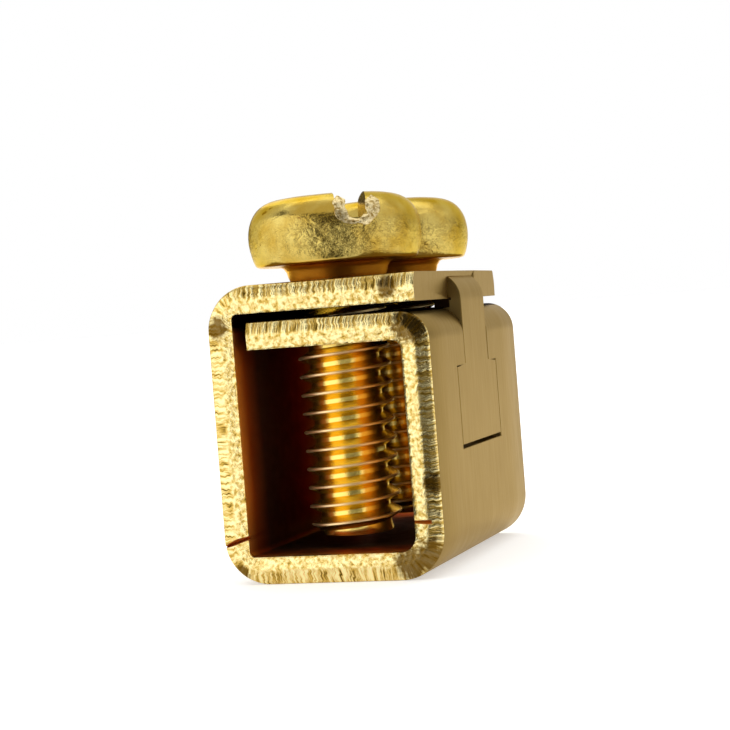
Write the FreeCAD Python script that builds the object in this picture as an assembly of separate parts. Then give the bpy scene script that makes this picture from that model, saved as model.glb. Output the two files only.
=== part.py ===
import FreeCAD, Part
import math
import os
from FreeCAD import Vector

# Cage clamp terminal: one brass strip folded into an open box, with two clamp screws.
# X runs across the mouth, Y along the conductor, Z up. The mouth that shows the screws
# faces -Y. The origin is the middle of the face that the cage stands on. Millimetres.

# Folded strip
STRIP_T = 1.2
CAGE_W = 9.7
CAGE_H = 12.6
CAGE_D = 14.6
# Outer bend radii: three open folds and the tucked fold that carries the inner flap
FOLD_R = 1.95
TUCK_R = 1.25
# Inner bend radii, nearly sharp on the side where the strip was scored before folding
SCORED_IN_R = 0.2
FLOOR_IN_R = 0.65
TUCK_IN_R = 0.4
# Slit between the two top layers, and how far the free ends stop short of the walls
FLAP_GAP = 0.33
INNER_FLAP_SHORT = 0.58
OUTER_FLAP_SHORT = 0.45
# Bevel that the shearing die left on the outer edges of both mouths
EDGE_BEVEL = 0.12

# T-shaped tongue that hooks the outer flap into the right-hand wall
NECK_W = 3.9
TEE_W = 6.55
TEE_SHOULDER_Z = 8.5
TEE_FOOT_Z = 5.15
TONGUE_R = 1.25
TONGUE_IN_R = 0.1
TONGUE_CLEAR = 0.06
TONGUE_FOOT_GAP = 0.2

# Clamp screws. The thread has 32 turns to the inch, drawn as closed V grooves.
MAJOR_D = 3.97
PITCH = 0.794
THREAD_DEPTH = 0.487
THREAD_FIT = 0.05
# Plain length that the thread leaves under the neck
THREAD_RUNOUT = 1.5
SCREW_SPACING = 7.6
# Underside of the head to the tip
SCREW_L = 11.6
TIP_CHAMFER = 0.5
# Flared neck that stops the screw on the rim of its hole
NECK_H = 0.67
NECK_FOOT_D = 4.2
NECK_TOP_D = 4.72
SEAT_GAP = 0.03
# Pan head
HEAD_D = 7.44
HEAD_FOOT_D = 6.8
HEAD_H = 2.85
HEAD_BELLY_Z = 1.1
HEAD_SHOULDER_R = 1.5
# Short cones that the quarter round of the shoulder is turned in
SHOULDER_STEPS = 6
HEAD_CROWN = 0.12
# Driver slot, cut off centre; the angle is from +Y towards -X
SLOT_W = 1.3
SLOT_DEPTH = 1.25
SLOT_FLOOR_R = 0.35
SLOT_OFFSET = 0.6
FRONT_SLOT_ANGLE = 21.7
REAR_SLOT_ANGLE = 120.0

# Faces of the cage that several features share
WALL_OUT_X = CAGE_W / 2
WALL_IN_X = WALL_OUT_X - STRIP_T
OUTER_FLAP_UNDER_Z = CAGE_H - STRIP_T
INNER_FLAP_TOP_Z = OUTER_FLAP_UNDER_Z - FLAP_GAP
INNER_FLAP_UNDER_Z = INNER_FLAP_TOP_Z - STRIP_T
OUTER_FLAP_END_X = WALL_OUT_X - OUTER_FLAP_SHORT
INNER_FLAP_END_X = -WALL_IN_X + INNER_FLAP_SHORT
HEAD_Z = CAGE_H + SEAT_GAP + NECK_H
# Room that a cutting tool is given past the face it opens
PAST = 1.0


def corner(before, at, after, radius):
    """End points and middle of the arc that rounds one corner of a section."""
    to_before = (before - at).normalize()
    to_after = (after - at).normalize()
    half = to_before.getAngle(to_after) / 2
    reach = radius / math.tan(half)
    bisector = (to_before + to_after).normalize()
    centre = at + bisector * (radius / math.sin(half))
    return at + to_before * reach, centre - bisector * radius, at + to_after * reach


def section(corners):
    """Face in the XZ plane from (x, z, rounding) corners, a rounding of 0 being sharp."""
    points = [Vector(x, 0, z) for x, z, _ in corners]
    count = len(corners)
    edges = []
    ends = []
    for i in range(count):
        radius = corners[i][2]
        if radius > 0:
            start, middle, end = corner(points[i - 1], points[i], points[(i + 1) % count], radius)
            edges.append(Part.Arc(start, middle, end).toShape())
            ends.append((start, end))
        else:
            ends.append((points[i], points[i]))
    for i in range(count):
        leave = ends[i][1]
        arrive = ends[(i + 1) % count][0]
        if (arrive - leave).Length > 1e-6:
            edges.append(Part.makeLine(leave, arrive))
    return Part.Face(Part.Wire(Part.__sortEdges__(edges)))


def along_y(face, width):
    """Section drawn out along Y, centred on the XZ plane."""
    face.translate(Vector(0, -width / 2, 0))
    return face.extrude(Vector(0, width, 0))


def block(x0, x1, width, z0, z1):
    """Box centred on the XZ plane."""
    return Part.makeBox(x1 - x0, width, z1 - z0, Vector(x0, -width / 2, z0))


def strip():
    """The folded strip without its tongue: outer flap, left wall, floor, right wall, inner flap."""
    face = section([
        (OUTER_FLAP_END_X, CAGE_H, 0),
        (-WALL_OUT_X, CAGE_H, FOLD_R),
        (-WALL_OUT_X, 0, FOLD_R),
        (WALL_OUT_X, 0, FOLD_R),
        (WALL_OUT_X, INNER_FLAP_TOP_Z, TUCK_R),
        (INNER_FLAP_END_X, INNER_FLAP_TOP_Z, 0),
        (INNER_FLAP_END_X, INNER_FLAP_UNDER_Z, 0),
        (WALL_IN_X, INNER_FLAP_UNDER_Z, TUCK_IN_R),
        (WALL_IN_X, STRIP_T, FLOOR_IN_R),
        (-WALL_IN_X, STRIP_T, SCORED_IN_R),
        (-WALL_IN_X, OUTER_FLAP_UNDER_Z, SCORED_IN_R),
        (OUTER_FLAP_END_X, OUTER_FLAP_UNDER_Z, 0),
    ])
    solid = along_y(face, CAGE_D)
    return solid.makeChamfer(EDGE_BEVEL, mouth_edges(solid))


def mouth_edges(solid):
    """Edges of both mouths along the outside of the fold, from the outer flap round to the tuck."""
    found = []
    for edge in solid.Edges:
        middle = edge.valueAt((edge.FirstParameter + edge.LastParameter) / 2)
        in_mouth = edge.BoundBox.YLength < 1e-6
        beside = abs(middle.x) > WALL_OUT_X - STRIP_T / 2
        below_or_above = middle.z < STRIP_T / 2 or middle.z > CAGE_H - STRIP_T / 2
        flap_end = abs(middle.x - OUTER_FLAP_END_X) < 1e-6 and middle.z > OUTER_FLAP_UNDER_Z
        if in_mouth and (beside or below_or_above) and not flap_end:
            found.append(edge)
    return found


def tongue():
    """Neck and T head: bent down from the outer flap, flush with the wall's two faces."""
    face = section([
        (OUTER_FLAP_END_X - FOLD_R, CAGE_H, 0),
        (WALL_OUT_X, CAGE_H, TONGUE_R),
        (WALL_OUT_X, TEE_FOOT_Z, 0),
        (WALL_IN_X, TEE_FOOT_Z, 0),
        (WALL_IN_X, OUTER_FLAP_UNDER_Z, TONGUE_IN_R),
        (OUTER_FLAP_END_X - FOLD_R, OUTER_FLAP_UNDER_Z, 0),
    ])
    head_and_neck = block(WALL_IN_X - PAST, WALL_OUT_X + PAST, TEE_W, TEE_FOOT_Z, TEE_SHOULDER_Z)
    neck = block(-CAGE_W, WALL_OUT_X + PAST, NECK_W, TEE_SHOULDER_Z, CAGE_H + PAST)
    return along_y(face, CAGE_D).common(head_and_neck.fuse(neck))


def window():
    """T-shaped opening in the right wall and the tuck, larger than the tongue by its clearance."""
    x0 = WALL_IN_X - TONGUE_CLEAR
    x1 = WALL_OUT_X + PAST
    foot_z = TEE_FOOT_Z - TONGUE_FOOT_GAP
    shoulder_z = TEE_SHOULDER_Z + TONGUE_CLEAR
    head = block(x0, x1, TEE_W + 2 * TONGUE_CLEAR, foot_z, shoulder_z)
    neck = block(x0, x1, NECK_W + 2 * TONGUE_CLEAR, foot_z, INNER_FLAP_TOP_Z + FLAP_GAP / 2)
    return head.fuse(neck)


def screw_hole(y):
    """Hole for one screw through both top layers, tapped size left as the plain major diameter."""
    z0 = INNER_FLAP_UNDER_Z - PAST
    height = CAGE_H + PAST - z0
    return Part.makeCylinder(MAJOR_D / 2 + THREAD_FIT, height, Vector(0, y, z0))


def cage():
    """The folded cage: one piece, with the T tongue closing it over the right-hand wall."""
    body = strip().cut(window()).fuse(tongue())
    for y in (-SCREW_SPACING / 2, SCREW_SPACING / 2):
        body = body.cut(screw_hole(y))
    return body.removeSplitter()


def turned(points):
    """Solid of revolution about Z from a closed list of edges in the XZ plane."""
    return Part.Face(Part.Wire(points)).revolve(Vector(0, 0, 0), Vector(0, 0, 1), 360)


def lines(points):
    """Straight edges through (radius, z) points."""
    return [Part.makeLine(Vector(*a), Vector(*b)) for a, b in zip(points, points[1:])]


def groove_profile(tip, top):
    """V grooves at the thread's pitch and depth, as (radius, z) points from the tip upwards."""
    major = MAJOR_D / 2
    points = []
    crest_z = tip + TIP_CHAMFER
    while crest_z + PITCH < top:
        points.append((major, 0, crest_z))
        points.append((major - THREAD_DEPTH, 0, crest_z + PITCH / 2))
        crest_z += PITCH
    points.append((major, 0, crest_z))
    return points


def shoulder_profile():
    """Quarter round from the head's side to the edge of its crown, as (radius, z) points."""
    points = []
    for step in range(SHOULDER_STEPS + 1):
        turn = step / SHOULDER_STEPS * math.pi / 2
        inward = HEAD_SHOULDER_R * (1 - math.cos(turn))
        drop = HEAD_SHOULDER_R * (1 - math.sin(turn))
        points.append((HEAD_D / 2 - inward, 0, HEAD_H - drop))
    return points


def turned_screw():
    """Head, flared neck and threaded shank in one turned profile, head underside at z = 0."""
    major = MAJOR_D / 2
    tip = -SCREW_L
    crown_top = Vector(0, 0, HEAD_H + HEAD_CROWN)
    profile = lines([
        tuple(crown_top),
        (0, 0, tip),
        (major - TIP_CHAMFER, 0, tip),
        *groove_profile(tip, -NECK_H - THREAD_RUNOUT),
        (major, 0, -NECK_H),
        (NECK_FOOT_D / 2, 0, -NECK_H),
        (NECK_TOP_D / 2, 0, 0),
        (HEAD_FOOT_D / 2, 0, 0),
        (HEAD_D / 2, 0, HEAD_BELLY_Z),
        *shoulder_profile(),
    ])
    # crown: a shallow ball cap
    crown_r = HEAD_D / 2 - HEAD_SHOULDER_R
    ball = (crown_r ** 2 + HEAD_CROWN ** 2) / (2 * HEAD_CROWN)
    half = math.asin(crown_r / ball) / 2
    ball_centre = crown_top - Vector(0, 0, ball)
    crown_mid = ball_centre + Vector(math.sin(half), 0, math.cos(half)) * ball
    profile.append(Part.Arc(Vector(crown_r, 0, HEAD_H), crown_mid, crown_top).toShape())
    return turned(profile)


def slot(angle):
    """Driver slot with a rounded floor, square to the head and off its centre."""
    floor_z = HEAD_H + HEAD_CROWN - SLOT_DEPTH
    face = section([
        (SLOT_OFFSET - SLOT_W / 2, floor_z, SLOT_FLOOR_R),
        (SLOT_OFFSET + SLOT_W / 2, floor_z, SLOT_FLOOR_R),
        (SLOT_OFFSET + SLOT_W / 2, HEAD_H + PAST, 0),
        (SLOT_OFFSET - SLOT_W / 2, HEAD_H + PAST, 0),
    ])
    tool = along_y(face, HEAD_D + PAST)
    tool.rotate(Vector(0, 0, 0), Vector(0, 0, 1), angle)
    return tool


def screw(y, slot_angle):
    """One turned screw in its place, neck down on the rim of its hole."""
    solid = turned_screw().cut(slot(slot_angle))
    solid.translate(Vector(0, y, HEAD_Z))
    return solid


def write(shape, name):
    """One STEP file per piece."""
    solid = shape.Solids[0]
    if len(shape.Solids) != 1 or not solid.isValid():
        raise RuntimeError(name + " is not one valid solid")
    solid.exportStep("parts/" + name + ".step")


def main():
    os.makedirs("parts", exist_ok=True)
    write(cage(), "cage")
    write(screw(-SCREW_SPACING / 2, FRONT_SLOT_ANGLE), "front_screw")
    write(screw(SCREW_SPACING / 2, REAR_SLOT_ANGLE), "rear_screw")


main()
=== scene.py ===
import math

import bpy
import numpy as np
from bpy.props import FloatProperty, FloatVectorProperty, PointerProperty
from bpy.types import Operator, Panel, PropertyGroup
from mathutils import Matrix, Vector, noise

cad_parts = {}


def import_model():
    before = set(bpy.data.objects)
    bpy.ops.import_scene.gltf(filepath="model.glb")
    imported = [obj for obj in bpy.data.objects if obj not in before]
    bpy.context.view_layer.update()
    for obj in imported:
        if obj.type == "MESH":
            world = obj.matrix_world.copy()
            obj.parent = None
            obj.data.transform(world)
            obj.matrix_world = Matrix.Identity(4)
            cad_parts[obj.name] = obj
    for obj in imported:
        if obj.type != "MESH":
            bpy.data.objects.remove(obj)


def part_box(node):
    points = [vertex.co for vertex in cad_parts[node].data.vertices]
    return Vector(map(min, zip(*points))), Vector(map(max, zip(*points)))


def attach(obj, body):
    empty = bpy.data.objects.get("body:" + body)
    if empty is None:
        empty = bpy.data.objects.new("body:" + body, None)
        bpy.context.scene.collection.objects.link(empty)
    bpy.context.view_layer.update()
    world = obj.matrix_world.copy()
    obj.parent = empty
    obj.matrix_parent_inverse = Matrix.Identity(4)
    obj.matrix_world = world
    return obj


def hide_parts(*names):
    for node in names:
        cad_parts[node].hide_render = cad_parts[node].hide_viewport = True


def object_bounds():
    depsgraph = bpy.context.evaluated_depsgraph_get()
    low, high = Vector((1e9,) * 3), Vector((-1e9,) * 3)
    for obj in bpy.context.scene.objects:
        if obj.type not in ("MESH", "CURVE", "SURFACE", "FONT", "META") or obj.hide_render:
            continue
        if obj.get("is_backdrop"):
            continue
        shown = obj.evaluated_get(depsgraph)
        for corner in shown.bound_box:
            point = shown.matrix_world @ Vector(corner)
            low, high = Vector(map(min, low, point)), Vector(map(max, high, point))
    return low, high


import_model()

bl_info = {
    "name": "Cage clamp terminal",
    "version": (1, 0, 0),
    "blender": (4, 5, 0),
    "location": "View3D > Sidebar > Cage clamp",
    "description": "Dresses the packed cage clamp terminal: folded brass cage, two clamp screws, burrs and studio",
    "category": "Object",
}

MM = 0.001
CAD_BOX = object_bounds()
CAGE_LOW, CAGE_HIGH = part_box("cage")
HEAD_TOP_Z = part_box("front_screw")[1].z / MM

# sizes of the fold, in millimetres
MOUTH_Y = -7.3
FLAP_GAP = 0.33
INNER_FLAP_SHORT = 0.58
OUTER_FLAP_SHORT = 0.45
FOLD_R = 1.95
TUCK_R = 1.25
TUCK_IN_R = 0.4
FLOOR_IN_R = 0.65
SCORED_IN_R = 0.2
TONGUE_IN_R = 0.1
NECK_HALF = 1.95
TEE_HALF = 3.275
TEE_SHOULDER_Z = 8.5
TEE_FOOT_Z = 5.15
# how far the outer flap's free end runs out of square, and from which y it does
LEAN = 0.4
LEAN_FROM = 2.0

# sizes of the screws, in millimetres, and turns of their slots in degrees
SCREW_Y = 3.8
SCREW_L = 11.6
HEAD_H = 2.97
HOLE_R = 2.035
SLOT_OFFSET = 0.6
SLOT_HALF = 0.65
SLOT_FLOOR = 1.72
SLOT_FLOOR_R = 0.35
FRONT_SLOT_ANGLE = 21.7
REAR_SLOT_ANGLE = 120.0
# middle of the two places where jaws crumpled a head, from +X
JAWS_ANGLE = -70.0


# ---------------------------------------------------------------- sizes and colours


class CageSizes(PropertyGroup):
    width: FloatProperty(name="Width", description="Across the two walls", unit="LENGTH",
                         default=CAGE_HIGH.x - CAGE_LOW.x)
    height: FloatProperty(name="Height", description="Foot to the top of the outer flap", unit="LENGTH",
                          default=CAGE_HIGH.z - CAGE_LOW.z)
    depth: FloatProperty(name="Depth", description="Mouth to mouth", unit="LENGTH",
                         default=CAGE_HIGH.y - CAGE_LOW.y)
    strip: FloatProperty(name="Strip thickness", description="Thickness of the brass strip", unit="LENGTH",
                         default=1.2 * MM)
    rollover: FloatProperty(name="Rollover", description="How far shearing drew the outer edge back", unit="LENGTH",
                            default=0.17 * MM)


class ScrewSizes(PropertyGroup):
    major: FloatProperty(name="Thread diameter", description="Over the crests", unit="LENGTH", default=3.97 * MM)
    pitch: FloatProperty(name="Pitch", description="Rise in one turn", unit="LENGTH", default=0.794 * MM)
    depth: FloatProperty(name="Thread depth", description="Crest to root", unit="LENGTH", default=0.487 * MM)
    spacing: FloatProperty(name="Spacing", description="Between the two screws", unit="LENGTH", default=7.6 * MM)
    dents: FloatProperty(name="Dents", description="Depth of the crumpling on the head's side", unit="LENGTH",
                         default=0.05 * MM)


class BrassColours(PropertyGroup):
    strip_brass: FloatVectorProperty(name="Strip", description="Rolled strip brass", subtype="COLOR_GAMMA",
                                     default=(0.565, 0.47, 0.28), min=0, max=1)
    screw_brass: FloatVectorProperty(name="Screw", description="Yellow screw brass", subtype="COLOR_GAMMA",
                                     default=(0.79, 0.70, 0.38), min=0, max=1)
    # painted shade: the dark brown that the box's inner faces are painted with for the shade inside
    inside_shade_brown: FloatVectorProperty(name="Inside", description="Dulled brown of the box's inner faces",
                                      subtype="COLOR_GAMMA", default=(0.69, 0.37, 0.16), min=0, max=1)


class StudioSettings(PropertyGroup):
    left_light: FloatProperty(name="Left light", description="Strength of the soft light at the left", default=2.7)
    right_light: FloatProperty(name="Right light", description="Strength of the soft light at the right", default=0.8)
    top_light: FloatProperty(name="Top light", description="Strength of the overhead light", default=1.2)
    side_light: FloatProperty(name="Side light", description="Strength of the light at the left, towards the back",
                              default=0.6)
    back_light: FloatProperty(name="Back light", description="Strength of the light behind on the right", default=1.1)
    surroundings: FloatProperty(name="Surroundings", description="Brightness of the room that the brass reflects",
                                default=0.08)
    table_glow: FloatProperty(name="Table glow", description="Light that comes through the white table", default=0.45)


# ---------------------------------------------------------------- modelling helpers


def deselect():
    """Object mode with nothing selected."""
    if bpy.context.mode != "OBJECT":
        bpy.ops.object.mode_set(mode="OBJECT")
    bpy.ops.object.select_all(action="DESELECT")


def pick(obj):
    """Only this object selected and active."""
    deselect()
    obj.select_set(True)
    bpy.context.view_layer.objects.active = obj


def mapped_grid(name, columns, rows, place):
    """A grid whose column and row numbers are given a place in the part, in millimetres."""
    deselect()
    bpy.ops.mesh.primitive_grid_add(x_subdivisions=columns, y_subdivisions=rows, size=2)
    obj = bpy.context.object
    obj.name = obj.data.name = name
    for vertex in obj.data.vertices:
        column = round((vertex.co.x + 1) / 2 * columns)
        row = round((vertex.co.y + 1) / 2 * rows)
        vertex.co = place(column, row)
    return obj


def weld(obj, gap=0.0005):
    """Seam vertices merged and faces turned outwards."""
    pick(obj)
    bpy.ops.object.mode_set(mode="EDIT")
    bpy.ops.mesh.select_all(action="SELECT")
    bpy.ops.mesh.remove_doubles(threshold=gap)
    bpy.ops.mesh.normals_make_consistent(inside=False)
    bpy.ops.object.mode_set(mode="OBJECT")
    return obj


def close_ends(obj):
    """Faces over the open ends of a tube."""
    pick(obj)
    bpy.ops.object.mode_set(mode="EDIT")
    bpy.ops.mesh.select_all(action="SELECT")
    bpy.ops.mesh.fill_holes(sides=0)
    bpy.ops.mesh.select_all(action="SELECT")
    bpy.ops.mesh.normals_make_consistent(inside=False)
    bpy.ops.object.mode_set(mode="OBJECT")
    return obj


def outline_prism(name, outlines):
    """Closed form through several outlines of as many points, capped at both ends. Millimetres."""
    count = len(outlines[0])

    def place(column, row):
        return outlines[column][row % count]

    return close_ends(weld(mapped_grid(name, len(outlines) - 1, count, place)))


def carve(obj, tool, operation="DIFFERENCE"):
    """Boolean with a second object, which is used up."""
    pick(obj)
    cut = obj.modifiers.new("Cut", "BOOLEAN")
    cut.object = tool
    cut.operation = operation
    cut.solver = "MANIFOLD"
    bpy.ops.object.modifier_apply(modifier=cut.name)
    bpy.data.objects.remove(tool)
    return obj


def smooth(obj, degrees):
    """Smooth shading, with edges sharper than this kept."""
    pick(obj)
    bpy.ops.object.shade_smooth_by_angle(angle=math.radians(degrees))
    return obj


def run_along(path):
    """Distance from the path's start to each of its points."""
    return np.concatenate([[0], np.cumsum(np.linalg.norm(np.diff(path, axis=0), axis=1))])


def rounded(corners, runs, bend):
    """Points along a path of (x, z, radius) corners: run counts for the straights, bend points for each corner."""
    points = []
    for i, (x, z, radius) in enumerate(corners):
        at = np.array((x, z), float)
        if i in (0, len(corners) - 1):
            arc = [at]
        else:
            before = np.array(corners[i - 1][:2]) - at
            after = np.array(corners[i + 1][:2]) - at
            before /= np.linalg.norm(before)
            after /= np.linalg.norm(after)
            centre = at + (before + after) * radius
            arc = []
            for k in range(bend + 1):
                turn = k / bend * math.pi / 2
                arc.append(centre - after * radius * math.cos(turn) - before * radius * math.sin(turn))
        if points:
            start, end, count = points[-1], arc[0], runs[i - 1]
            points += [start + (end - start) * k / count for k in range(1, count)]
        points += arc
    return np.array(points)


# ---------------------------------------------------------------- the folded cage


def strip_paths(sizes):
    """Outer and inner faces of the strip, station by station, from the inner flap round to the outer flap."""
    out_x = sizes.width / MM / 2
    top = sizes.height / MM
    t = sizes.strip / MM
    in_x = out_x - t
    flap_top = top - t - FLAP_GAP
    start = -in_x + INNER_FLAP_SHORT
    end = out_x - OUTER_FLAP_SHORT
    outer = [(start, flap_top, 0), (out_x, flap_top, TUCK_R), (out_x, 0, FOLD_R), (-out_x, 0, FOLD_R),
             (-out_x, top, FOLD_R), (end, top, 0)]
    inner = [(start, flap_top - t, 0), (in_x, flap_top - t, TUCK_IN_R), (in_x, t, FLOOR_IN_R), (-in_x, t, SCORED_IN_R),
             (-in_x, top - t, SCORED_IN_R), (end, top - t, 0)]
    runs = (76, 96, 72, 108, 90)
    return rounded(outer, runs, 16), rounded(inner, runs, 16)


def tongue_paths(sizes):
    """Outer and inner faces of the tongue, from inside the outer flap down to its foot."""
    out_x = sizes.width / MM / 2
    top = sizes.height / MM
    t = sizes.strip / MM
    start = out_x - 2.4
    outer = [(start, top, 0), (out_x, top, TUCK_R), (out_x, TEE_FOOT_Z, 0)]
    inner = [(start, top - t, 0), (out_x - t, top - t, TONGUE_IN_R), (out_x - t, TEE_FOOT_Z, 0)]
    return rounded(outer, (8, 60), 12), rounded(inner, (8, 60), 12)


# share of the thickness and how far that line is drawn back from the mouth, in rollovers: rolled over outside,
# torn back a little inside, with a thin burr standing on the inner edge
EDGE_LINES = [(0.0, 1.75), (0.015, 1.35), (0.05, 1.08), (0.1, 0.92), (0.18, 0.7), (0.27, 0.46), (0.36, 0.24),
              (0.43, 0.09), (0.5, 0.0), (0.58, 0.02), (0.7, 0.1), (0.82, 0.19), (0.93, 0.28), (0.965, 0.14),
              (0.985, 0.1), (1.0, 0.3)]


def ribbon(name, outer, inner, half_width, rollover, rows_along=6, rough=0.0, lean=None):
    """Strip swept along its path. Its cross-section has a drawn-back outer edge at both sides."""
    section = []
    for share, back in EDGE_LINES:
        section.append((share, -1, back * rollover, 1))
    for k in range(1, rows_along):
        section.append((1.0, -1 + 2 * k / rows_along, 0, 0))
    for share, back in reversed(EDGE_LINES):
        section.append((share, 1, back * rollover, 1))
    for k in range(1, rows_along):
        section.append((0.0, 1 - 2 * k / rows_along, 0, 0))
    section.append(section[0])
    stations = len(outer) - 1
    run = run_along((outer + inner) / 2)

    def place(column, row):
        share, side, back, at_edge = section[row]
        x, z = outer[column] * (1 - share) + inner[column] * share
        half = half_width(column)
        y = side * (half - back) if at_edge else side * (half - 0.3)
        if at_edge and rough:
            ripple = noise.noise(Vector((run[column] * 2.2, share * 2.5, side * 7.0)))
            burr = noise.noise(Vector((run[column] * 5.0, 3.3, side * 4.0))) if share > 0.95 else 0
            y += side * (rough * ripple + 0.03 * burr)
        if lean:
            x -= lean(column, y)
        return x, y, z

    return close_ends(weld(mapped_grid(name, stations, len(section) - 1, place)))


def tee_outline(x, grow, neck_top):
    """Outline of the T in the wall, in the YZ plane at x, larger all round by grow."""
    left, right, tee = -1.955 - grow, 2.0 + grow, 3.28 + grow
    shoulder, foot = 8.505 + grow, 4.98 - grow
    return [(x, -tee, foot), (x, tee, foot), (x, tee, shoulder), (x, right, shoulder), (x, right, neck_top),
            (x, left, neck_top), (x, left, shoulder), (x, -tee, shoulder)]


def window_cutter(sizes):
    """T-shaped tool for the right-hand wall, flared where it meets the outer face."""
    out_x = sizes.width / MM / 2
    in_x = out_x - sizes.strip / MM
    neck_top = sizes.height / MM - sizes.strip / MM - FLAP_GAP / 2
    lines = ((in_x - 0.06, 0.0), (out_x - 0.04, 0.0), (out_x + 0.01, 0.03), (out_x + 0.9, 0.03))
    return outline_prism("window_tool", [tee_outline(x, grow, neck_top) for x, grow in lines])


def screw_hole_cutter(y, sizes):
    """Tool for the hole through both flaps, with a chamfered rim."""
    top = sizes.height / MM
    turn = [2 * math.pi * k / 64 for k in range(64)]

    def ring(radius, z):
        return [(radius * math.cos(a), y + radius * math.sin(a), z) for a in turn]

    rim = HOLE_R + 0.125
    return outline_prism("hole_tool", [ring(HOLE_R, top - 4.4), ring(HOLE_R, top - 0.06), ring(rim, top + 0.05)])


def score_cutter(start, end, wide):
    """Wedge that leaves a mark scored across the mouth's edge, between two (x, z, depth) points."""
    above = 0.3
    outlines = []
    for x, z, depth in (start, end):
        mouth = wide * (depth + above) / depth
        outlines.append([(x, MOUTH_Y - above, z - mouth), (x, MOUTH_Y + depth, z), (x, MOUTH_Y - above, z + mouth)])
    return outline_prism("score_tool", outlines)


def strip_uv(obj, paths):
    """UV in millimetres: U runs along the strip, V goes through its thickness from the outer face."""
    outer, inner = paths
    middle = (outer + inner) / 2
    run = run_along(middle)
    co = np.array([v.co for v in obj.data.vertices])
    flat = co[:, (0, 2)]
    nearest = np.empty(len(flat), int)
    batch = 4000
    for start in range(0, len(flat), batch):
        part = flat[start:start + batch]
        nearest[start:start + batch] = ((part[:, None] - middle[None]) ** 2).sum(2).argmin(1)
    through = inner[nearest] - outer[nearest]
    share = ((flat - outer[nearest]) * through).sum(1) / (through ** 2).sum(1)
    uv = obj.data.uv_layers.new(name="strip")
    for loop in obj.data.loops:
        v = loop.vertex_index
        uv.data[loop.index].uv = (run[nearest[v]], min(max(share[v], 0), 1))


def paint_faces(obj, sizes):
    """Material slots: 0 the strip's outside, 1 what the shears left at the mouths, 2 the dark brown of painted shade
    inside the box and between the flaps, also on the scored marks."""
    half = sizes.depth / MM / 2
    t = sizes.strip / MM
    wall = sizes.width / MM / 2 - t
    top = sizes.height / MM - t
    slack = 0.03
    for face in obj.data.polygons:
        x, y, z = face.center / MM
        left_mark = -5 < x < -3.6 and 1.4 < z < 2.2
        right_mark = 3.6 < x < 4.5 and 2.2 < z < 2.6
        scored = y < -half + 0.25 and abs(face.normal.z) > 0.6 and (left_mark or right_mark)
        at_mouth = abs(face.normal.y) > 0.3 and abs(y) > half - 0.4
        # painted shade: the inside of the box and the gap between the flaps take the dark brown slot
        inside = abs(x) < wall + slack and t - slack < z < top + slack
        between_flaps = 0 < x < wall + 0.72 and top - FLAP_GAP - 0.09 < z < top + slack
        if at_mouth and not scored:
            face.material_index = 1
        else:
            face.material_index = 2 if scored or inside or between_flaps else 0


# ---------------------------------------------------------------- the clamp screws


def thread(name, y, head_z, sizes):
    """Right-hand helical thread from the tip up into the neck, with a chamfered tip and a plain runout."""
    major, pitch, depth = sizes.major / MM / 2, sizes.pitch / MM, sizes.depth / MM
    tip = head_z - SCREW_L
    top = head_z - 0.3
    runout = head_z - 2.1
    # half the flats on the crest and in the root
    crest, root = 0.036, 0.09
    profile = [(major, -crest), (major, crest), (major - depth, pitch / 2 - root), (major - depth, pitch / 2 + root)]
    steps = 96
    turns = int((top - tip) / pitch) + 3

    def place(column, row):
        angle = 2 * math.pi * column / steps
        level, k = divmod(row, len(profile))
        radius, rise = profile[k]
        z = tip - pitch + (level + column / steps) * pitch + rise
        nick = noise.noise(Vector((math.cos(angle) * 2.5, math.sin(angle) * 2.5, z * 3 + y)))
        if k < 2:
            radius += 0.03 * min(nick, 0.3) - 0.01
        else:
            radius += 0.012 * nick
        radius = min(radius, major - 0.5 + max(z - tip, -0.45))
        fade = min(max((z - runout) / 0.5, 0), 1)
        radius = radius * (1 - fade) + major * fade
        return radius * math.cos(angle), y + radius * math.sin(angle), z

    obj = weld(mapped_grid(name, steps, turns * len(profile), place), 0.002)
    for z, keep_above in ((tip, True), (top, False)):
        pick(obj)
        bpy.ops.object.mode_set(mode="EDIT")
        bpy.ops.mesh.select_all(action="SELECT")
        bpy.ops.mesh.bisect(plane_co=(0, 0, z), plane_no=(0, 0, 1), use_fill=True,
                            clear_inner=keep_above, clear_outer=not keep_above)
        bpy.ops.object.mode_set(mode="OBJECT")
    return weld(obj)


# radius and height above the underside of the head, in millimetres
HEAD_LINE = [(0.0, -0.67), (2.0, -0.67), (2.1, -0.67), (2.13, -0.5), (2.17, -0.32), (2.24, -0.16), (2.36, -0.04),
             (2.52, 0.0), (3.3, 0.0), (3.42, 0.03), (3.5, 0.12), (3.58, 0.32), (3.64, 0.55), (3.69, 0.8),
             (3.715, 1.05), (3.715, 1.3), (3.69, 1.55), (3.64, 1.8), (3.56, 2.03), (3.45, 2.23), (3.31, 2.41),
             (3.14, 2.56), (2.94, 2.68), (2.71, 2.77), (2.45, 2.83), (2.1, 2.875), (1.6, 2.91), (1.0, 2.945),
             (0.5, 2.96), (0.0, 2.965)]
# where the flared neck ends and the head's underside starts in that line
UNDERSIDE = 7


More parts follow.
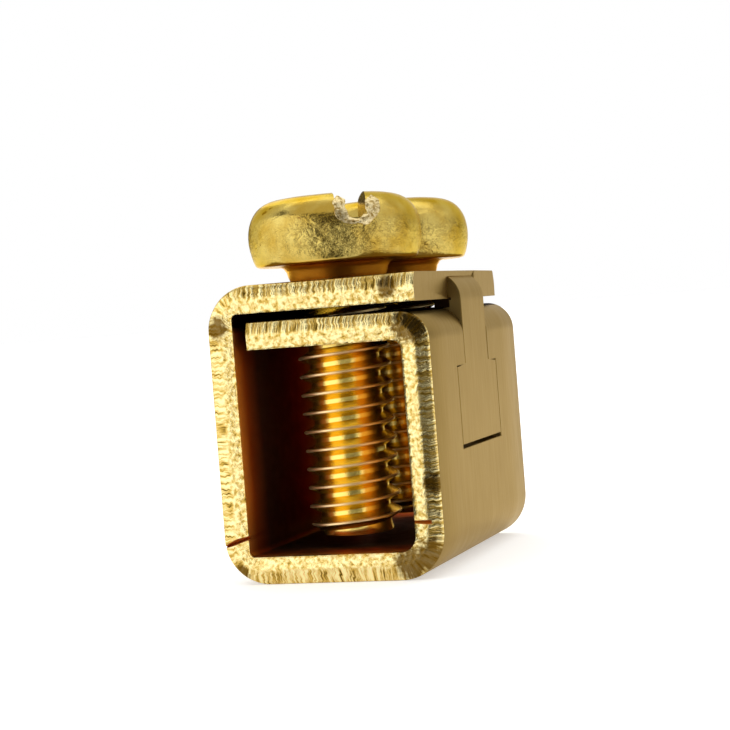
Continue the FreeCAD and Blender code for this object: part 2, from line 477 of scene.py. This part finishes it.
def head(name, y, head_z, sizes, seed):
    """Pan head and flared neck, with the crumpling that feeding and driving left round its side."""
    steps = 240
    line = np.array(HEAD_LINE)
    along = run_along(line)
    neck_rows, rows = 13, 110
    neck = np.linspace(0, along[UNDERSIDE], neck_rows + 1)[:-1]
    at = np.concatenate([neck, np.linspace(along[UNDERSIDE], along[-1], rows - neck_rows + 1)])
    radius = np.interp(at, along, line[:, 0])
    level = np.interp(at, along, line[:, 1])
    dents = sizes.dents / MM

    def place(column, row):
        angle = 2 * math.pi * (column % steps) / steps
        r, z = radius[row], level[row]
        where = Vector((math.cos(angle) * 3.7, math.sin(angle) * 3.7, z))
        belt = math.exp(-((z - 1.0) / 0.62) ** 2)
        big = noise.noise(where * 0.9 + Vector((seed, 0, 0)))
        small = noise.fractal(where * 3.4 + Vector((0, seed, 0)), 0.9, 2.1, 4)
        if 0 < row < rows:
            # crumpled where two jaws held it, in front and behind
            held = 0.5 + 0.5 * math.cos(2 * (angle - math.radians(JAWS_ANGLE)))
            push = dents * (belt * held * (1.3 * small - 0.4) + 0.3 * big) if z > 0.02 else 0
            r = max(r + push, 0.02)
            z += 0.35 * push
        return r * math.cos(angle), y + r * math.sin(angle), head_z + z

    return weld(mapped_grid(name, steps, rows, place))


def slot_cutter(y, head_z, angle):
    """Tool for the driver slot: rounded floor, off the head's centre, and turned about the screw."""
    outline = []
    middle, bottom = SLOT_HALF - SLOT_FLOOR_R, SLOT_FLOOR + SLOT_FLOOR_R
    quarter = [math.pi / 2 * k / 8 for k in range(9)]
    for turn in quarter:
        outline.append((-middle - SLOT_FLOOR_R * math.cos(turn), bottom - SLOT_FLOOR_R * math.sin(turn)))
    for turn in quarter:
        outline.append((middle + SLOT_FLOOR_R * math.sin(turn), bottom - SLOT_FLOOR_R * math.cos(turn)))
    sides = [(SLOT_HALF, 2.75), (SLOT_HALF + 0.05, HEAD_H), (SLOT_HALF + 0.1, 3.4)]
    outline += sides + [(-x, z) for x, z in reversed(sides)]
    c, s = math.cos(math.radians(angle)), math.sin(math.radians(angle))

    def at(distance):
        return [((x + SLOT_OFFSET) * c - distance * s, y + (x + SLOT_OFFSET) * s + distance * c, head_z + z)
                for x, z in outline]

    return outline_prism("slot_tool", [at(-4.5), at(-1.5), at(1.5), at(4.5)])


def slot_lip(name, y, head_z, angle, seed):
    """Smeared, lumpy lip in a U round the slot's end, where the slotting tool ran out."""
    side = np.array(HEAD_LINE[UNDERSIDE + 1:])
    path = rounded([(-0.5, 2.72, 0), (-0.44, 1.56, 0.55), (0.92, 1.56, 0.55), (0.92, 2.68, 0)], (30, 8, 26), 18)
    along = np.gradient(path, axis=0)
    along /= np.linalg.norm(along, axis=1)[:, None]
    columns, rows = len(path) - 1, 14
    c, s = math.cos(math.radians(angle)), math.sin(math.radians(angle))

    def place(column, row):
        turn = 2 * math.pi * (row % rows) / rows
        across, level = path[column]
        end = min(1, 9 * column / columns, 9 * (columns - column) / columns)
        lump = noise.noise(Vector((across * 2.2, level * 2.2, seed)))
        fold = noise.noise(Vector((across * 4.5, level * 4.5, seed + 5 + 1.5 * math.cos(turn))))
        wide = (0.2 + 0.1 * column / columns + 0.22 * lump) * end + 0.004
        high = (0.07 + 0.11 * fold) * end + 0.004
        across += -along[column, 1] * wide * math.cos(turn)
        level += along[column, 0] * wide * math.cos(turn)
        radius = np.interp(level, side[:, 1], side[:, 0])
        x = across + SLOT_OFFSET
        reach = math.sqrt(max(radius ** 2 - x ** 2, 0.1)) - 0.015 + high * math.sin(turn)
        return x * c + reach * s, y + x * s - reach * c, head_z + level

    return smooth(close_ends(weld(mapped_grid(name, columns, rows, place))), 40)


def screw(name, y, head_z, angle, seed, sizes):
    """Head with its slot, joined to the threaded shank."""
    piece = head(name, y, head_z, sizes, seed)
    carve(piece, slot_cutter(y, head_z, angle))
    carve(piece, thread(name + "_thread", y, head_z, sizes), "UNION")
    return smooth(piece, 38)


# ---------------------------------------------------------------- materials


def linear(hex_colour):
    """Linear colour of an sRGB hex value."""
    values = [int(hex_colour[i:i + 2], 16) / 255 for i in (1, 3, 5)]
    return tuple(v / 12.92 if v <= 0.04045 else ((v + 0.055) / 1.055) ** 2.4 for v in values) + (1.0,)


def gamma_to_linear(colour):
    """Linear colour of a property's display colour."""
    return linear("#" + "".join(f"{round(c * 255):02x}" for c in colour))


def add(material, kind, inputs=(), **settings):
    """One node with its settings, and its inputs set or linked."""
    node = material.node_tree.nodes.new(kind)
    for key, value in settings.items():
        setattr(node, key, value)
    for key, value in dict(inputs).items():
        socket = node.inputs[key]
        if isinstance(value, bpy.types.NodeSocket):
            material.node_tree.links.new(value, socket)
        else:
            socket.default_value = value
    return node


def ramp(material, value, stops):
    """Colour ramp through (place, colour or grey level) stops."""
    node = add(material, "ShaderNodeValToRGB", {"Fac": value})
    elements = node.color_ramp.elements
    while len(elements) < len(stops):
        elements.new(0.5)
    for element, (place, colour) in zip(elements, stops):
        element.position = place
        element.color = colour if isinstance(colour, tuple) else (colour, colour, colour, 1)
    return node.outputs["Color"]


def start_material(name):
    """Named material with an empty node tree."""
    material = bpy.data.materials.new(name)
    material.use_nodes = True
    material.node_tree.nodes.clear()
    return material


def finish_material(material, shader):
    """The shader linked to the material's surface."""
    add(material, "ShaderNodeOutputMaterial", {"Surface": shader.outputs["BSDF"]})
    return material


def noise_at(material, place, scale, detail, roughness=0.5, distortion=0.0):
    """Noise of a scale counted per unit of the given coordinates."""
    node = add(material, "ShaderNodeTexNoise", {"Vector": place, "Scale": scale, "Detail": detail,
                                                "Roughness": roughness, "Distortion": distortion})
    return node.outputs["Fac"]


def reckon(material, operation, *values):
    """Result of one sum on values or links."""
    node = add(material, "ShaderNodeMath", dict(enumerate(values)), operation=operation)
    return node.outputs["Value"]


def between(material, value, start, end):
    """0 to 1 as the value goes from start to end, given in millimetres, and held past them."""
    limits = {"Value": value, "From Min": start * MM, "From Max": end * MM}
    return add(material, "ShaderNodeMapRange", limits).outputs["Result"]


def blend(material, factor, first, second):
    """Second colour over the first one, by the factor."""
    node = add(material, "ShaderNodeMix", {"Factor": factor, "A": first, "B": second}, data_type="RGBA")
    return node.outputs[2]


def blend_values(material, factor, first, second):
    """Second value over the first one, by the factor."""
    return add(material, "ShaderNodeMix", {"Factor": factor, "A": first, "B": second}).outputs["Result"]


def metal(material, colour, rough, edge, height=None, strength=0.0, distance=0.0):
    """Metal shader whose inputs are values or links. The edge colour tints what it reflects at a glancing view."""
    inputs = {"Base Color": colour, "Metallic": 1.0, "Roughness": rough, "Specular Tint": edge}
    if height is not None:
        bump = add(material, "ShaderNodeBump", {"Height": height, "Strength": strength, "Distance": distance})
        inputs["Normal"] = bump.outputs["Normal"]
    return finish_material(material, add(material, "ShaderNodeBsdfPrincipled", inputs))


def rolled_brass(colours):
    """Cold-rolled strip brass: even satin, with the faint straight grain of the rolls and a few handling marks."""
    m = start_material("cold_rolled_strip_brass")
    place = add(m, "ShaderNodeTexCoord").outputs["Object"]
    # the grain runs round the fold: long across Y, about 0.1 mm fine along it
    grain_place = add(m, "ShaderNodeMapping", {"Vector": place, "Scale": (500, 9000, 500)}).outputs["Vector"]
    grain = noise_at(m, grain_place, 1, 3)
    # faint cloudy handling marks about 2 mm across
    cloud = noise_at(m, place, 500, 3)
    tint = ramp(m, cloud, [(0.25, linear("#8A7241")), (0.7, gamma_to_linear(colours.strip_brass))])
    rough = ramp(m, grain, [(0.3, 0.33), (0.7, 0.41)])
    return metal(m, tint, rough, linear("#FFEFCF"), grain, 0.05, 0.02 * MM)


def inner_brass(colours):
    """Inner faces of the folded strip: painted shade in dark brown, painted lighter and redder close to the mouths,
    with a painted pool of light on the T's wall.
    """
    m = start_material("painted_shade_inner_brass")
    place = add(m, "ShaderNodeTexCoord").outputs["Object"]
    axes = add(m, "ShaderNodeSeparateXYZ", {"Vector": place}).outputs
    # painted shade and light: darker from 2.5 mm inside, lighter and redder out to the mouth
    near = between(m, reckon(m, "ABSOLUTE", axes["Y"]), 4.8, 7.3)
    brown = ramp(m, near, [(0.0, linear("#6A523C")), (0.6, gamma_to_linear(colours.inside_shade_brown)),
                           (1.0, linear("#DC9A50"))])
    # painted light: a paler patch on the inside of the T's wall near the shown mouth
    right = between(m, axes["X"], 3.2, 3.55)
    front = between(m, axes["Y"], -3.0, -4.5)
    tint = blend(m, reckon(m, "MULTIPLY", right, front), brown, linear("#E0AA5A"))
    # painted shade: nearly black between the two flaps
    tint = blend(m, between(m, axes["Z"], 10.6, 10.9), tint, linear("#2A1A0E"))
    # blotches about 0.7 mm across
    blotch = noise_at(m, place, 1500, 3)
    return metal(m, tint, ramp(m, blotch, [(0.3, 0.38), (0.7, 0.52)]), linear("#7A5434"))


# painted shade: dark olive patches on the shown mouth's edge: x, z and reach in millimetres
PAINTED_DARK_PATCHES = [(4.3, 0.9, 1.5), (3.4, 0.7, 1.2), (4.0, 10.5, 1.3), (3.2, 12.1, 0.8), (-4.4, 10.9, 0.9), (-4.2, 0.5, 0.7),
           (4.6, 4.0, 0.8)]


def sheared_brass(colours):
    """Sheared strip edge: fresh brass dragged into lines across the outer half of its thickness, torn and mottled in
    the inner half, with painted shade in its low lines and grains, painted highlight on its raised ones and patches of
    painted shade on the shown mouth."""
    m = start_material("sheared_edge_brass")
    uv = add(m, "ShaderNodeUVMap", uv_map="strip").outputs["UV"]
    # drag lines about 0.15 mm apart along the strip, long through its thickness
    line_place = add(m, "ShaderNodeMapping", {"Vector": uv, "Scale": (7.0, 0.9, 1)}).outputs["Vector"]
    lines = noise_at(m, line_place, 1, 4, 0.6)
    # torn grains about 0.2 mm across, softer than the lines
    grain_place = add(m, "ShaderNodeMapping", {"Vector": uv, "Scale": (5, 6, 1)}).outputs["Vector"]
    grains = reckon(m, "MULTIPLY_ADD", noise_at(m, grain_place, 1, 4, 0.6), 0.62, 0.205)
    through = add(m, "ShaderNodeSeparateXYZ", {"Vector": uv}).outputs["Y"]
    share = ramp(m, through, [(0.4, 0.1), (0.56, 1.0)])
    height = blend_values(m, share, lines, grains)
    # painted shade and highlight: darker in the low lines and grains, paler on the raised ones, following the bump
    shaded_lit_lines = ramp(m, height, [(0.36, linear("#54400F")), (0.45, linear("#C8A44C")), (0.57, linear("#F6E6A8"))])
    # painted shade: dark olive blotches about 0.5 mm across, round the bends
    place = add(m, "ShaderNodeTexCoord").outputs["Object"]
    blotch = noise_at(m, place, 2600, 3)
    reach = 0.0
    for x, z, wide in PAINTED_DARK_PATCHES:
        centre = (x * MM, MOUTH_Y * MM, z * MM)
        far = add(m, "ShaderNodeVectorMath", {0: place, 1: centre}, operation="DISTANCE").outputs["Value"]
        reach = reckon(m, "MAXIMUM", reach, between(m, far, wide, 0.2 * wide))
    fleck = reckon(m, "SUBTRACT", reckon(m, "ADD", blotch, 0.75), height)
    patchy = ramp(m, reckon(m, "MULTIPLY", reach, fleck), [(0.28, 0.0), (0.52, 0.9)])
    tint = blend(m, patchy, shaded_lit_lines, linear("#5E420E"))
    rough = ramp(m, height, [(0.36, 0.36), (0.55, 0.17)])
    return metal(m, tint, rough, linear("#FFE8AC"), height, 0.8, 0.05 * MM)


def screw_brass(colours):
    """Headed and rolled yellow brass: burnished, wrinkled in a belt round the head with painted shade in its creases,
    satin above, painted brighter and redder below it.
    """
    m = start_material("headed_screw_brass")
    place = add(m, "ShaderNodeTexCoord").outputs["Object"]
    axes = add(m, "ShaderNodeSeparateXYZ", {"Vector": place}).outputs
    level = axes["Z"]
    # the belt of wrinkles lies round the widest part of the head
    belt = reckon(m, "MULTIPLY", between(m, level, 13.35, 13.75), between(m, level, 15.4, 14.6))
    # wrinkles about 0.3 mm across
    wrinkle = noise_at(m, place, 3300, 5, 0.58, 0.5)
    # folded about its middle, the noise gives creases
    crease = reckon(m, "ABSOLUTE", reckon(m, "SUBTRACT", wrinkle, 0.5))
    height = reckon(m, "MULTIPLY", crease, reckon(m, "MULTIPLY_ADD", belt, 0.88, 0.12))
    cloud = noise_at(m, place, 900, 3)
    yellow = ramp(m, cloud, [(0.35, linear("#B6963E")), (0.62, gamma_to_linear(colours.screw_brass))])
    # brown specks about 0.3 mm across
    specks = ramp(m, noise_at(m, place, 1900, 2), [(0.70, 0.0), (0.74, 0.75)])
    spotted = blend(m, specks, yellow, linear("#7A4A14"))
    # distance from the nearer screw's axis
    off_y = reckon(m, "SUBTRACT", reckon(m, "ABSOLUTE", axes["Y"]), SCREW_Y * MM)
    squares = [reckon(m, "MULTIPLY", side, side) for side in (axes["X"], off_y)]
    off = reckon(m, "SQRT", reckon(m, "ADD", *squares))
    # painted shade: darker in the creases where the jaws held the head
    jaws = math.radians(JAWS_ANGLE)
    across = reckon(m, "MULTIPLY", reckon(m, "SIGN", axes["Y"]), off_y)
    towards = reckon(m, "MULTIPLY", axes["X"], math.cos(jaws))
    facing = reckon(m, "MULTIPLY_ADD", across, math.sin(jaws), towards)
    held = reckon(m, "POWER", reckon(m, "ABSOLUTE", reckon(m, "DIVIDE", facing, off)), 4.0)
    crease_shade = reckon(m, "MULTIPLY", ramp(m, crease, [(0.0, 0.75), (0.045, 0.0)]), reckon(m, "MULTIPLY", belt, held))
    spotted = blend(m, crease_shade, spotted, linear("#5E430C"))
    # painted light: the neck and the shank are painted brighter and redder than the head, from 13.3 mm down
    deep = between(m, level, 13.42, 13.2)
    below = ramp(m, reckon(m, "MULTIPLY", level, 50.0), [(0.615, linear("#F8DC78")), (0.63, linear("#FAC25A"))])
    tint = blend(m, deep, spotted, below)
    # the thread's crests are scuffed and paler
    crest = reckon(m, "MULTIPLY", between(m, off, 1.89, 1.94), between(m, level, 11.3, 11.1))
    tint = blend(m, crest, tint, linear("#F8DAA6"))
    satin = ramp(m, wrinkle, [(0.35, 0.24), (0.65, 0.14)])
    rough = blend_values(m, crest, blend_values(m, deep, satin, 0.24), 0.42)
    return metal(m, tint, rough, linear("#F6E2A4"), height, 1.0, 0.1 * MM)


def smeared_brass():
    """Freshly smeared lip at the slot's end: pale, silvery brass."""
    m = start_material("smeared_pale_brass")
    place = add(m, "ShaderNodeTexCoord").outputs["Object"]
    # folds about 0.15 mm across
    fold = noise_at(m, place, 6500, 4, 0.6)
    tint = ramp(m, fold, [(0.35, linear("#96793A")), (0.55, linear("#E4D3A4"))])
    return metal(m, tint, ramp(m, fold, [(0.3, 0.45), (0.7, 0.3)]), linear("#FFF2CC"), fold, 0.8, 0.05 * MM)


def lit_table(glow):
    """Plain white product table that fades into the backdrop: matt, and lit through from below."""
    m = start_material("matt_white_table")
    shader = add(m, "ShaderNodeBsdfPrincipled", {"Base Color": (0.93, 0.93, 0.93, 1), "Roughness": 0.9,
                                                 "Emission Color": (1, 1, 1, 1), "Emission Strength": glow})
    return finish_material(m, shader)


def black_paper():
    """Matt black paper of the card."""
    m = start_material("black_paper")
    shader = add(m, "ShaderNodeBsdfPrincipled", {"Base Color": (0.02, 0.02, 0.02, 1), "Roughness": 0.9})
    return finish_material(m, shader)


# ---------------------------------------------------------------- operators


def place_piece(obj, body, node, materials):
    """Brings a piece from millimetres to metres, finishes it and hangs it on its body."""
    pick(obj)
    bpy.ops.transform.resize(value=(MM, MM, MM), center_override=(0, 0, 0))
    bpy.ops.object.transform_apply(location=True, rotation=True, scale=True)
    obj.data.materials.clear()
    for material in materials:
        obj.data.materials.append(material)
    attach(obj, body)
    if node:
        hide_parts(node)


class CAGECLAMP_OT_cage(Operator):
    """Folds the brass strip into the cage and hooks its tongue into the wall"""
    bl_idname = "cageclamp.cage"
    bl_label = "Folded cage"

    def execute(self, context):
        sizes = context.scene.cage_sizes
        colours = context.scene.brass_colours
        paths = strip_paths(sizes)
        half = sizes.depth / MM / 2
        last = len(paths[0]) - 1

        def lean(station, y):
            """The outer flap's free end runs out of square behind the tongue."""
            return LEAN * max(1 - (last - station) / 30, 0) * max(y - LEAN_FROM, 0) / (half - LEAN_FROM)

        cage = ribbon("folded_cage", *paths, lambda station: half, sizes.rollover / MM, rough=0.012, lean=lean)
        carve(cage, window_cutter(sizes))
        outer, inner = tongue_paths(sizes)

        def half_tongue(station):
            return NECK_HALF if outer[station, 1] > TEE_SHOULDER_Z + 1e-6 or station < 20 else TEE_HALF

        tongue = ribbon("tongue", outer, inner, half_tongue, 0.05, rows_along=10)
        carve(cage, tongue, "UNION")
        for y in (-SCREW_Y, SCREW_Y):
            carve(cage, screw_hole_cutter(y, sizes))
        carve(cage, score_cutter((-5.0, 1.58, 0.42), (-3.55, 2.04, 0.2), 0.11))
        carve(cage, score_cutter((3.55, 2.42, 0.18), (4.4, 2.39, 0.2), 0.09))
        strip_uv(cage, paths)
        smooth(cage, 30)
        materials = [rolled_brass(colours), sheared_brass(colours), inner_brass(colours)]
        place_piece(cage, "cage", "cage", materials)
        paint_faces(cage, sizes)
        return {"FINISHED"}


class CAGECLAMP_OT_screws(Operator):
    """Turns both clamp screws: dented pan head, driver slot, flared neck and right-hand thread"""
    bl_idname = "cageclamp.screws"
    bl_label = "Clamp screws"

    def execute(self, context):
        sizes = context.scene.screw_sizes
        brass = screw_brass(context.scene.brass_colours)
        reach = sizes.spacing / MM / 2
        head_z = HEAD_TOP_Z - HEAD_H
        lip = smeared_brass()
        for side, y, angle, seed in (("front", -reach, FRONT_SLOT_ANGLE, 3.1), ("rear", reach, REAR_SLOT_ANGLE, 8.4)):
            body = side + "_screw"
            place_piece(screw(side + "_clamp_screw", y, head_z, angle, seed, sizes), body, body, [brass])
            place_piece(slot_lip(side + "_slot_burr", y, head_z, angle, seed), body, None, [lip])
        return {"FINISHED"}


class CAGECLAMP_OT_studio(Operator):
    """White table, soft lights, black card and the camera at the photograph's angle"""
    bl_idname = "cageclamp.studio"
    bl_label = "Studio"

    def execute(self, context):
        settings = context.scene.studio_settings
        deselect()
        bpy.ops.mesh.primitive_plane_add(size=6.0, location=(0, 0, 0))
        floor = context.object
        floor.name = "studio_floor"
        floor.data.materials.append(lit_table(settings.table_glow))
        floor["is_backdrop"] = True
        sun("left_soft_light", -54, -5, 98, settings.left_light)
        sun("side_soft_light", -125, 32, 60, settings.side_light)
        sun("right_soft_light", 92, 20, 64, settings.right_light)
        sun("top_soft_light", 20, 86, 84, settings.top_light)
        sun("back_soft_light", 172, 40, 84, settings.back_light)
        black_card()
        world(context.scene, settings.surroundings)
        camera(context.scene)
        context.scene.view_settings.view_transform = "Standard"
        return {"FINISHED"}


def sun(name, azimuth, elevation, wide, strength):
    """Distant round soft light. Azimuth 0 is in front of the shown mouth and grows to the right."""
    a, e = math.radians(azimuth), math.radians(elevation)
    towards = Vector((math.sin(a) * math.cos(e), -math.cos(a) * math.cos(e), math.sin(e)))
    bpy.ops.object.light_add(type="SUN")
    light = bpy.context.object
    light.name = name
    light.rotation_euler = towards.to_track_quat("Z", "Y").to_euler()
    light.data.energy = strength
    light.data.angle = math.radians(wide)


def black_card():
    """Wedge of black card on the table in front, which only the brass sees: it gives the heads their dark middle."""
    deselect()
    bpy.ops.mesh.primitive_plane_add(size=1)
    card = bpy.context.object
    card.name = "black_card"
    # millimetres from a point just inside the mouth, and degrees from straight ahead towards the right
    apex_y = -6
    corners = ((9, -4), (9, 43), (140, -4), (140, 43))
    for vertex, (far, azimuth) in zip(card.data.vertices, corners):
        a = math.radians(azimuth)
        vertex.co = Vector((far * math.sin(a), apex_y - far * math.cos(a), 0.2)) * MM
    card.data.materials.append(black_paper())
    card.visible_camera = card.visible_shadow = card.visible_diffuse = False
    card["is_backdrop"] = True


def world(scene, brightness):
    """Dim surroundings for the metal to reflect, behind a white backdrop."""
    surroundings = bpy.data.worlds.new("studio_surroundings")
    surroundings.use_nodes = True
    tree = surroundings.node_tree
    tree.nodes.clear()
    dim = add(surroundings, "ShaderNodeBackground", {"Color": (1.0, 0.84, 0.5, 1), "Strength": brightness})
    white = add(surroundings, "ShaderNodeBackground", {"Color": (1, 1, 1, 1), "Strength": 1.0})
    seen = add(surroundings, "ShaderNodeLightPath").outputs["Is Camera Ray"]
    mix = add(surroundings, "ShaderNodeMixShader", {0: seen, 1: dim.outputs[0], 2: white.outputs[0]})
    add(surroundings, "ShaderNodeOutputWorld", {"Surface": mix.outputs[0]})
    scene.world = surroundings


def camera(scene):
    """The photograph's view: low, from the right of the mouth, and rolled a little."""
    azimuth, elevation, roll = (math.radians(v) for v in (18.573, 1.647, -4.481))
    level = math.cos(elevation)
    back = Vector((math.sin(azimuth) * level, -math.cos(azimuth) * level, math.sin(elevation)))
    right = Vector((math.cos(azimuth), math.sin(azimuth), 0))
    up = back.cross(right)
    across = right * math.cos(roll) + up * math.sin(roll)
    upright = up * math.cos(roll) - right * math.sin(roll)
    bpy.ops.object.camera_add()
    eye = bpy.context.object
    eye.name = "photo_camera"
    place = (back * 84.312 - across * 1.033 + upright * 8.666) * MM
    eye.matrix_world = Matrix.Translation(place) @ Matrix((across, upright, back)).transposed().to_4x4()
    eye.data.lens = 92.19
    eye.data.sensor_width = 36
    eye.data.clip_start = 0.002
    scene.camera = eye


# ---------------------------------------------------------------- panel and main


class CAGECLAMP_PT_panel(Panel):
    bl_label = "Cage clamp terminal"
    bl_space_type = "VIEW_3D"
    bl_region_type = "UI"
    bl_category = "Cage clamp"

    def draw(self, context):
        for group in ("cage_sizes", "screw_sizes", "brass_colours", "studio_settings"):
            values = getattr(context.scene, group)
            for key in values.__annotations__:
                self.layout.prop(values, key)
        for step in STEPS:
            self.layout.operator(step.bl_idname)


GROUPS = {"cage_sizes": CageSizes, "screw_sizes": ScrewSizes, "brass_colours": BrassColours,
          "studio_settings": StudioSettings}
STEPS = (CAGECLAMP_OT_cage, CAGECLAMP_OT_screws, CAGECLAMP_OT_studio)


def register():
    for kind in (*GROUPS.values(), *STEPS, CAGECLAMP_PT_panel):
        bpy.utils.register_class(kind)
    for name, kind in GROUPS.items():
        setattr(bpy.types.Scene, name, PointerProperty(type=kind))


def unregister():
    for name in GROUPS:
        delattr(bpy.types.Scene, name)
    for kind in (CAGECLAMP_PT_panel, *reversed(STEPS), *GROUPS.values()):
        bpy.utils.unregister_class(kind)


def main():
    register()
    bpy.ops.cageclamp.cage()
    bpy.ops.cageclamp.screws()
    bpy.ops.cageclamp.studio()
    boxes = {"cad_box": CAD_BOX, "visual_box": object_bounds()}
    {name: [[float(v) for v in corner] for corner in box] for name, box in boxes.items()}


if __name__ == "__main__":
    main()
